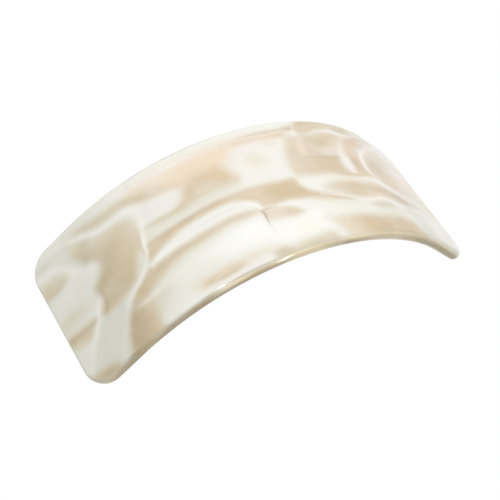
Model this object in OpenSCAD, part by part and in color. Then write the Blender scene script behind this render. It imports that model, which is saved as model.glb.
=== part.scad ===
// Arched acetate barrette with a metal French clasp.
// +X runs along the barrette towards the hinge end, +Y across it, +Z up
// through the crown of the arch. The origin is on the line the two ends
// stand on, under the middle. Millimetres.

/* [Face plate] */
// Length of the plate along its outer face
plate_len = 100; // [95:1:110]
// Width of the plate
plate_w = 33; // [24:0.5:45]
// Thickness of the acetate sheet
plate_t = 2.5; // [2.4:0.1:4]
// Outer radius of the bend
plate_r = 48.5; // [48:0.5:58]
// Length of the straight run at each end
flat_end = 11.5; // [7:0.5:12]
// Radius of the four corners, seen from above
corner_r = 5.4; // [3:0.1:8]
// Radius of the polished edges
edge_r = 1.0; // [0.4:0.1:1.1]

/* [Clasp base] */
// Width of the base strip
base_w = 9.0; // [9:0.1:10]
// Thickness of the base strip
base_t = 0.8; // [0.7:0.05:1]
// Angle from the crown to the hinge end of the strip
base_a1 = 42.0; // [41.5:0.1:43]
// Angle from the crown to the catch end of the strip
base_a0 = 43.3; // [42.8:0.1:44]
// Angle from the crown to each fixing rivet
rivet_a = 23; // [18:1:23]
// Radius of the fixing rivets' shanks
rivet_r = 1.0; // [0.8:0.05:1.1]
// Depth of the blind holes in the back of the plate
rivet_depth = 1.5; // [1:0.1:1.6]

/* [Hinge] */
// Angle from the crown to the hinge pin
hinge_a = 39.5; // [39:0.1:40]
// Height of the hinge pin off the base strip
hinge_h = 4.8; // [4.6:0.1:5]
// Radius of the hinge pin
pin_r = 0.75; // [0.6:0.05:0.75]
// Radial clearance of the pieces that turn on the pin
run = 0.05; // [0.02:0.01:0.1]

/* [Arm] */
// Width of the arm
arm_w = 7.0; // [6.6:0.1:7]
// Thickness of the arm's sheet
arm_t = 0.7; // [0.6:0.05:0.8]
// Depth of the arm's turned-down edges
arm_edge = 1.3; // [1.1:0.05:1.4]
// Gap for hair between bow and arm at the crown
hair_gap = 5.4; // [5:0.1:6]

/* [Tension bow] */
// Width of the bow
bow_w = 6.0; // [5:0.1:6.4]
// Thickness of the bow's spring strip
bow_t = 0.35; // [0.3:0.05:0.4]
// Height of the bow off the base strip at the crown
bow_rise = 3.4; // [3:0.1:3.6]
// Angle from the crown to the bow's free end
bow_a = 26.5; // [25:0.5:27]

/* [Catch] */
// Angle from the crown to the middle of the catch
catch_a = 39; // [38.5:0.1:39.5]
// Thickness of the catch spring's sheet
spring_t = 0.6; // [0.5:0.05:0.6]
// Distance from the middle to each prong's inner face
prong_y = 1.3; // [1.2:0.05:1.3]
// How far each barb stands out of its prong
barb = 0.45; // [0.3:0.05:0.45]

/* [Hidden] */
$fn = 96;

// ---- plate ----
plate_ri = plate_r - plate_t;
half_a = (plate_len / 2 - flat_end) / plate_r * 180 / PI;
// height of the crown over the line the rounded ends stand on
height = plate_r * (1 - cos(half_a)) + flat_end * sin(half_a)
       - edge_r * sin(half_a) + (plate_t - edge_r) * cos(half_a) + edge_r;
zc = height - plate_r;                  // centre of the bend, below the origin

// ---- clasp base ----
base_ri = plate_ri - base_t;
rivet_head_r = 1.8;
rivet_head_t = 0.45;
seat_gap = 0.04;                        // flat heads sit on the strip's hollow face at their rims
ear_t = 0.7;
ear_r = 1.7;
ear_y = base_w / 2 - 0.1;               // outer face of each ear

// ---- hinge ----
pin_pr = base_ri - hinge_h;             // pin's distance from the centre of the bend
pin_x = pin_pr * sin(hinge_a);
pin_z = zc + pin_pr * cos(hinge_a);
bore_r = pin_r + run;
knuckle_r = 1.65;
knuckle_y = 2.1;                        // inner face of each of the arm's knuckles

// ---- tension bow: one arc through the crown point and the free end, tangent
// to the curl that goes round the pin ----
bow_k = bore_r + bow_t / 2;             // pin centre to the bow's middle line
bow_p2 = [0, zc + base_ri - bow_rise - bow_t / 2];
bow_pr3 = base_ri - 0.25 - bow_t / 2;
bow_p3 = [-bow_pr3 * sin(bow_a), zc + bow_pr3 * cos(bow_a)];
bow_m = (bow_p2 + bow_p3) / 2;
bow_h = norm(bow_p2 - bow_p3) / 2;
bow_d = [(bow_p2 - bow_p3)[1], -(bow_p2 - bow_p3)[0]] / (2 * bow_h);
bow_v = bow_m - [pin_x, pin_z];
bow_g = bow_d * bow_v;
bow_q = bow_v * bow_v - bow_h * bow_h - bow_k * bow_k;
bow_qa = 4 * (bow_g * bow_g - bow_k * bow_k);
bow_qb = 4 * bow_q * bow_g;
bow_qc = bow_q * bow_q - 4 * bow_k * bow_k * bow_h * bow_h;
bow_s = sqrt(bow_qb * bow_qb - 4 * bow_qa * bow_qc);
// of the two tangent arcs, the one that keeps the pin inside
bow_t1 = (-bow_qb + bow_s) / (2 * bow_qa);
bow_t2 = (-bow_qb - bow_s) / (2 * bow_qa);
function bow_err(t) = abs(norm(bow_v + t * bow_d) - sqrt(bow_h * bow_h + t * t) + bow_k);
bow_tt = bow_err(bow_t1) < bow_err(bow_t2) ? bow_t1 : bow_t2;
bow_c = bow_m + bow_tt * bow_d;
bow_r = round(sqrt(bow_h * bow_h + bow_tt * bow_tt) * 1000) / 1000;
bow_pin_a = atan2(pin_x - bow_c[0], pin_z - bow_c[1]);
bow_end_a = atan2(bow_p3[0] - bow_c[0], bow_p3[1] - bow_c[1]);

// ---- arm: one arc centred under the crown, its upper face one pin radius
// under the pin's centre ----
arm_top_z = bow_p2[1] - bow_t / 2 - hair_gap;
arm_k = arm_top_z + pin_r;
arm_cz = (pin_x * pin_x + pin_z * pin_z - arm_k * arm_k) / (2 * (pin_z - arm_k));
arm_r = round((arm_top_z - arm_cz) * 1000) / 1000;
lip_r = 2.3;                            // outer radius of the lip a nail lifts
function arm_a(x) = asin(x / arm_r);
arm_pin_a = atan2(pin_x, pin_z - arm_cz);
arm_tip_x = -29.6;
win_x0 = -28.1;                         // window in the arm's free end
win_x1 = -23.7;
win_y = prong_y + spring_t + barb - 0.1 + 0.15;

// ---- catch spring ----
seat_ro = base_ri;
seat_ri = base_ri - spring_t - 0.1;
jaw_ro = base_ri - 0.1;
jaw_ri = jaw_ro - spring_t;
jaw_line_y = 1.15;                      // the line each jaw bends on
prong_x0 = -27.5;                       // the prong, where it goes through the window
prong_x1 = -24.5;
prong_end_z = 2.7;
tab_y = 4.4;                            // inner face of each pinch tab
eyelet_a = 31.4;

// Ring sector about an axis along Y through [cx, cz], from angle a0 to a1,
// measured from +Z towards +X.
module sector(cx, cz, ri, ro, a0, a1, w)
    translate([cx, 0, cz]) rotate([90, 0, 0]) rotate([0, 0, 90 - a1])
        rotate_extrude(angle = a1 - a0)
            translate([ri, -w / 2]) square([ro - ri, w]);

// Children in the frame at radius r and angle a of the bend: X along it,
// Z out of it.
module at(a, r)
    translate([r * sin(a), 0, zc + r * cos(a)]) rotate([0, a, 0]) children();

module along_y(y0, y1)
    translate([0, y1, 0]) rotate([90, 0, 0]) linear_extrude(y1 - y0) children();

// Plate profile across its width: x is the radius, y the width.
module plate_profile() {
    translate([plate_ri + edge_r, -plate_w / 2]) square([plate_t - 2 * edge_r, plate_w]);
    translate([plate_ri, -plate_w / 2 + edge_r]) square([plate_t, plate_w - 2 * edge_r]);
    for (x = [plate_ri + edge_r, plate_r - edge_r], y = [-1, 1])
        translate([x, y * (plate_w / 2 - edge_r)]) circle(edge_r);
}

// Half profile of the end: x outwards from the corner's centre, y the radius.
module end_profile() {
    translate([0, plate_ri]) square([corner_r - edge_r, plate_t]);
    translate([0, plate_ri + edge_r]) square([corner_r, plate_t - 2 * edge_r]);
    for (y = [plate_ri + edge_r, plate_r - edge_r])
        translate([corner_r - edge_r, y]) circle(edge_r);
}

// Half of the plate, +X side. It is drawn about the centre of the bend with
// the plane where the arc meets the straight end at y = 0, and the arc runs a
// little past the crown before the half is trimmed to x >= 0.
module half_plate() {
    run_l = flat_end - corner_r;
    half_y = plate_w / 2 - corner_r;
    intersection() {
        translate([0, 0, zc]) rotate([90, 0, 0]) rotate([0, 0, 90 - half_a]) {
            rotate_extrude(angle = half_a + 3) plate_profile();
            rotate([90, 0, 0]) linear_extrude(run_l) plate_profile();
            translate([0, -run_l, -half_y]) rotate([0, 0, -90])
                linear_extrude(2 * half_y) end_profile();
            for (s = [0, 1])
                translate([0, -run_l, s == 0 ? half_y : -half_y])
                    rotate([0, 90, 0]) rotate([0, 0, s == 0 ? 180 : 270])
                        rotate_extrude(angle = 90) end_profile();
        }
        translate([0, -50, -50]) cube(100);
    }
}

module blind_hole(a)
    at(a, plate_ri - 1) cylinder(r = rivet_r, h = 1 + rivet_depth);

module face_plate()
    color([0.90, 0.86, 0.79]) difference() {
        union() {
            half_plate();
            mirror([1, 0, 0]) half_plate();
        }
        blind_hole(rivet_a);
        blind_hole(-rivet_a);
    }

// Fixing rivet: pan head on the base strip, shank up into the plate.
module fixing_rivet(a)
    color([0.78, 0.78, 0.80]) at(a, base_ri - seat_gap) {
        rotate([180, 0, 0]) {
            cylinder(r = rivet_head_r, h = 0.2);
            translate([0, 0, 0.2]) cylinder(r1 = rivet_head_r, r2 = rivet_head_r - 0.4, h = rivet_head_t - 0.2);
        }
        cylinder(r = rivet_r, h = seat_gap + base_t + rivet_depth - 0.1);
    }

module hinge_end_rivet() fixing_rivet(rivet_a);
module catch_end_rivet() fixing_rivet(-rivet_a);

module ear(y0)
    at(hinge_a, base_ri) along_y(y0, y0 + ear_t) difference() {
        union() {
            polygon([[-2.5, 0.3], [2.0, 0.3], [1.68, -hinge_h], [-1.68, -hinge_h]]);
            translate([0, -hinge_h]) circle(ear_r);
        }
        translate([0, -hinge_h]) circle(pin_r);
    }

// Plan outline that rounds the base strip's ends.
module base_plan() {
    x0 = -plate_ri * sin(base_a0);
    x1 = plate_ri * sin(base_a1);
    r = 2;
    translate([x0 + r, -base_w / 2 - 1]) square([x1 + 1 - x0 - r, base_w + 2]);
    translate([x0, -base_w / 2 + r]) square([r + 1, base_w - 2 * r]);
    for (y = [-1, 1]) translate([x0 + r, y * (base_w / 2 - r + 0.15)]) circle(r);
}

module clasp_base()
    color([0.74, 0.74, 0.76]) {
        difference() {
            intersection() {
                sector(0, zc, base_ri, plate_ri, -base_a0, base_a1, base_w);
                translate([0, 0, -5]) linear_extrude(40) base_plan();
            }
            for (a = [-rivet_a, rivet_a]) at(a, base_ri - 1) cylinder(r = rivet_r, h = 3);
            at(-eyelet_a, base_ri - 1) cylinder(r = 0.9, h = 3);
            at(-eyelet_a, plate_ri - 0.35) cylinder(r = 1.5, h = 2);
        }
        ear(ear_y - ear_t);
        ear(-ear_y);
    }

module hinge_pin()
    color([0.80, 0.80, 0.82]) translate([pin_x, 0, pin_z]) rotate([90, 0, 0]) {
        cylinder(r = pin_r, h = 2 * ear_y, center = true);
        for (s = [0, 1]) mirror([0, 0, s]) translate([0, 0, ear_y]) {
            cylinder(r = 1.2, h = 0.2);
            translate([0, 0, 0.2]) cylinder(r1 = 1.2, r2 = 0.85, h = 0.25);
        }
    }

// The fixed middle of the catch spring: a pad under the eyelet and the strip
// that runs out between the two jaws.
module catch_seat()
    color([0.76, 0.76, 0.78]) difference() {
        union() {
            sector(0, zc, seat_ri, seat_ro, -34.6, -28.3, 7.2);
            sector(0, zc, seat_ri, seat_ro, -42.6, -33.5, 2 * (jaw_line_y - 0.15));
        }
        at(-eyelet_a, seat_ri - 1) cylinder(r = 0.9, h = 3);
    }

module catch_eyelet()
    color([0.80, 0.78, 0.72]) at(-eyelet_a, 0) difference() {
        union() {
            translate([0, 0, seat_ri - seat_gap - 0.3]) cylinder(r1 = 1.3, r2 = 1.5, h = 0.3);
            translate([0, 0, seat_ri - seat_gap]) cylinder(r = 0.9, h = plate_ri - seat_ri + seat_gap - 0.05);
            translate([0, 0, plate_ri - 0.35]) cylinder(r = 1.5, h = 0.3);
        }
        translate([0, 0, seat_ri - 1]) cylinder(r = 0.55, h = plate_ri - seat_ri + 2);
    }

// Section of the arm, a shallow channel: x is the radius, y the width.
module arm_section() {
    translate([arm_r - arm_t, -arm_w / 2]) square([arm_t, arm_w]);
    for (y = [-arm_w / 2, arm_w / 2 - 0.6])
        translate([arm_r - arm_edge, y]) square([arm_edge - arm_t / 2, 0.6]);
}

module arm()
    color([0.77, 0.77, 0.79]) difference() {
        union() {
            // channel and lip meet in the plane of the tip, at y = 0 of this frame
            translate([0, 0, arm_cz]) rotate([90, 0, 0]) rotate([0, 0, 90 - arm_a(arm_tip_x)]) {
                mirror([0, 1, 0]) rotate_extrude(angle = arm_pin_a - arm_a(arm_tip_x)) arm_section();
                translate([arm_r - lip_r, 0, 0]) rotate_extrude(angle = 50)
                    translate([lip_r - arm_t, -arm_w / 2 + 0.8]) square([arm_t, arm_w - 1.6]);
            }
            // knuckles
            for (s = [0, 1]) mirror([0, s, 0])
                translate([pin_x, arm_w / 2 - 0.05, pin_z]) rotate([90, 0, 0])
                    cylinder(r = knuckle_r, h = arm_w / 2 - 0.05 - knuckle_y);
        }
        // bore for the pin, and the slot the bow's curl turns in
        translate([pin_x, 0, pin_z]) rotate([90, 0, 0]) cylinder(r = bore_r, h = 20, center = true);
        translate([pin_x, 0, pin_z]) rotate([90, 0, 0]) cylinder(r = 3.4, h = 2 * knuckle_y, center = true);
        // window for the catch
        translate([0, 0, -10]) linear_extrude(40) {
            translate([win_x0, -win_y + 0.5]) square([win_x1 - win_x0, 2 * win_y - 1]);
            translate([win_x0 + 0.5, -win_y]) square([win_x1 - win_x0 - 1, 2 * win_y]);
            for (x = [win_x0 + 0.5, win_x1 - 0.5], y = [-1, 1])
                translate([x, y * (win_y - 0.5)]) circle(0.5);
        }
    }

// Plan outline of the bow: a narrow neck at the hinge, a round free end.
module bow_plan() {
    x0 = bow_p3[0];
    r = 2.2;
    translate([x0 + r, -bow_w / 2]) square([pin_x - 4.6 - x0 - r, bow_w]);
    translate([x0, -bow_w / 2 + r]) square([r + 1, bow_w - 2 * r]);
    for (y = [-1, 1]) translate([x0 + r, y * (bow_w / 2 - r)]) circle(r);
    translate([pin_x - 8, -1.8]) square([16, 3.6]);
}

// Frame of the bow's arc, with the plane through the pin at y = 0.
module in_bow()
    translate([bow_c[0], 0, bow_c[1]]) rotate([90, 0, 0]) rotate([0, 0, 90 - bow_pin_a]) children();

module tension_bow()
    color([0.72, 0.72, 0.74]) {
        intersection() {
            in_bow() rotate_extrude(angle = bow_pin_a - bow_end_a + 1)
                translate([bow_r - bow_t / 2, -bow_w / 2 - 0.5]) square([bow_t, bow_w + 1]);
            translate([0, 0, -5]) linear_extrude(40) bow_plan();
        }
        // curl round the pin, open on the side that faces back along the bow
        in_bow() translate([bow_r - bow_k, 0, 0]) mirror([0, 1, 0]) rotate_extrude(angle = 290)
            translate([bore_r, -1.8]) square([bow_t, 3.6]);
    }

// One jaw, on the +Y side: flange, hooked prong and pinch tab.
module jaw() {
    root_x = -jaw_ri * sin(catch_a);
    root_z = zc + jaw_ri * cos(catch_a);
    // flange along the base strip
    translate([0, (jaw_line_y + tab_y + spring_t) / 2, 0])
        sector(0, zc, jaw_ri, jaw_ro, -catch_a - 3.4, -catch_a + 3.4, tab_y + spring_t - jaw_line_y);
    // prong through the arm's window
    along_y(prong_y, prong_y + spring_t) {
        polygon([[root_x - 1.7, root_z - 1.2], [root_x + 2.3, root_z + 2.0],
                 [prong_x1, 8.2], [prong_x1, prong_end_z + 0.8],
                 [prong_x1 - 0.8, prong_end_z], [prong_x0 + 0.8, prong_end_z],
                 [prong_x0, prong_end_z + 0.8], [prong_x0, 8.2]]);
    }
    // barb under the arm, its catching face along the arm
    translate([0, 0, arm_cz]) rotate([0, arm_a(-26), 0])
        translate([-1.3, prong_y + spring_t, arm_r - arm_t - 0.12])
            rotate([90, 0, 90]) linear_extrude(2.6)
                polygon([[-0.2, 0], [barb, 0], [barb, -0.25], [0, -1.3], [-0.2, -1.3]]);
    // pinch tab outside the arm
    along_y(tab_y, tab_y + spring_t) {
        translate([root_x, root_z]) rotate(catch_a) {
            translate([-2.6, -2]) square([5.2, 2.2]);
            translate([-3.2, -6.2]) square([6.4, 3.2]);
            translate([-1.8, -7.6]) square([3.6, 6]);
            for (x = [-1.8, 1.8]) {
                translate([x, -6.2]) circle(1.4);
                translate([x, -3.0]) circle(1.4);
            }
        }
    }
}

module catch_jaw_rear() color([0.76, 0.76, 0.78]) jaw();
module catch_jaw_front() color([0.76, 0.76, 0.78]) mirror([0, 1, 0]) jaw();

face_plate();
clasp_base();
hinge_end_rivet();
catch_end_rivet();
hinge_pin();
catch_seat();
catch_eyelet();
arm();
tension_bow();
catch_jaw_front();
catch_jaw_rear();
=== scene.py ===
import math

import bpy
import numpy as np
from mathutils import Matrix, Quaternion, Vector


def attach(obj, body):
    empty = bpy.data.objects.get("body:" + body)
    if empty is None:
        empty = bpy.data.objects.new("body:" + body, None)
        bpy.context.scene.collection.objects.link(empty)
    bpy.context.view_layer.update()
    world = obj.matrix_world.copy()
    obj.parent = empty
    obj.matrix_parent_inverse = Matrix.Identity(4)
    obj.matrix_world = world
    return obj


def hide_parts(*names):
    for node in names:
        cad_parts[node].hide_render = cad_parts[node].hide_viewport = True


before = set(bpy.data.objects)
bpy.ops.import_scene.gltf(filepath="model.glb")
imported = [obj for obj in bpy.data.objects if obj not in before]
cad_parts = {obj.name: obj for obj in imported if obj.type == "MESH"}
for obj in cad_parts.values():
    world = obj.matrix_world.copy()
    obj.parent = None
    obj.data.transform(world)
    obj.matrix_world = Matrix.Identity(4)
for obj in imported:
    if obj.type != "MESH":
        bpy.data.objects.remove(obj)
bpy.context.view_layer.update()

scene = bpy.context.scene
MM = 0.001

# ---------------------------------------------------------------- the plate
# Sizes as in the CAD, in millimetres. s runs along the outer face, y across
# it, d is the depth under the outer face.
LEN, WID, THK = 100.0, 33.0, 2.5
BEND, FLAT, CORNER, EDGE = 48.5, 11.5, 5.4, 1.0
HALF = LEN / 2 - FLAT
HALF_A = HALF / BEND
HEIGHT = (BEND * (1 - math.cos(HALF_A)) + FLAT * math.sin(HALF_A)
          - EDGE * math.sin(HALF_A) + (THK - EDGE) * math.cos(HALF_A) + EDGE)
ZC = HEIGHT - BEND


def bend(s, y, d):
    """Points of the flat sheet bent into the arch, in metres."""
    arc = np.clip(s, -HALF, HALF)
    a, run = arc / BEND, s - arc
    r = BEND - d
    x = r * np.sin(a) + run * np.cos(a)
    z = ZC + r * np.cos(a) - run * np.sin(a)
    return np.stack([x, y, z], -1) * MM


def columns():
    """Places along the sheet: the inset outline's s, its half width there, and its outward normal."""
    half_s, half_y, r = LEN / 2 - CORNER, WID / 2 - CORNER, CORNER - EDGE
    left = np.linspace(-half_s, -5.2, 128)
    fine = np.linspace(-5.2, -1.6, 25)
    right = np.linspace(-1.6, half_s, 150)
    mid = np.concatenate([left, fine[1:], right[1:]])
    th = np.linspace(0, math.pi / 2, 15)[1:]
    s = np.concatenate([(-half_s - r * np.sin(th))[::-1], mid, half_s + r * np.sin(th)])
    hw = np.concatenate([(half_y + r * np.cos(th))[::-1], np.full(len(mid), half_y + r), half_y + r * np.cos(th)])
    ns = np.concatenate([-np.sin(th)[::-1], np.zeros(len(mid)), np.sin(th)])
    ny = np.concatenate([np.cos(th)[::-1], np.ones(len(mid)), np.cos(th)])
    return s, hw, ns, ny


# ---------------------------------------------------------------- marbling
# The marbling is drawn in the sheet's own plane, in millimetres, as
# layers of pigment over a pearl ground: T gold tan, O olive tan, P peach, B
# brown, W milk white, L lilac white, G grey and None for bare ground; C cream
# and D dark brown only colour the cut edge. An area is a closed
# outline with a soft edge, a line is (s, y, half width, strength) along it,
# and a spot is a soft ellipse.
PIGMENTS = "TOPBWLGCD"


def area(pigment, amount, soft, outline, fade=None):
    return "area", pigment, amount, soft, outline, fade


def line(pigment, points):
    return "line", pigment, 1.0, 0.0, points, None


def spot(pigment, amount, s, y, rs, ry, turn=0.0):
    return "spot", pigment, amount, 0.0, (s, y, rs, ry, turn), None


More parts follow.
